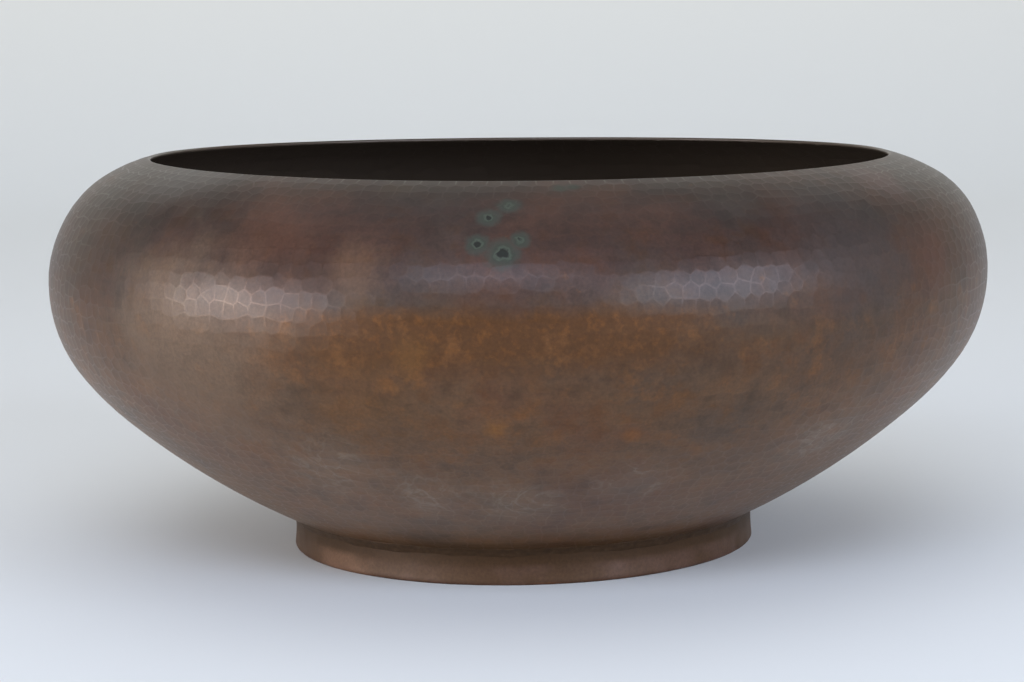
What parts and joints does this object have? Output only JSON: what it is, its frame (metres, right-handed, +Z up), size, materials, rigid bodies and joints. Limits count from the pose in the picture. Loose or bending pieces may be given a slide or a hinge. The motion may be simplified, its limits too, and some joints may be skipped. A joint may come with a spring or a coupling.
{
  "type": "bowl",
  "caption": "Squat hand-hammered copper bowl with a rolled-in shoulder, a wide open mouth and a soldered-on foot ring.",
  "frame": {"origin": "centre of the foot ring's lower edge, on the surface that the bowl stands on", "axes": "+Z up along the bowl's axis of rotation; -Y towards the front, and the foot's soldered seam is at the back, 112 degrees from +X"},
  "size_m": [0.28, 0.28, 0.1167],
  "materials": {
    "patinated_copper": null,
    "foot_copper": "copper strip, hammered, brown patina worn to pink copper low down",
    "silver_solder": "silver solder, tarnished dull grey-brown"
  },
  "bodies": {
    "root": {"bowl_body": "patinated_copper", "foot_ring": "foot_copper", "foot_joint_solder": "silver_solder", "foot_seam_solder": "silver_solder"}
  },
  "joints": []
}
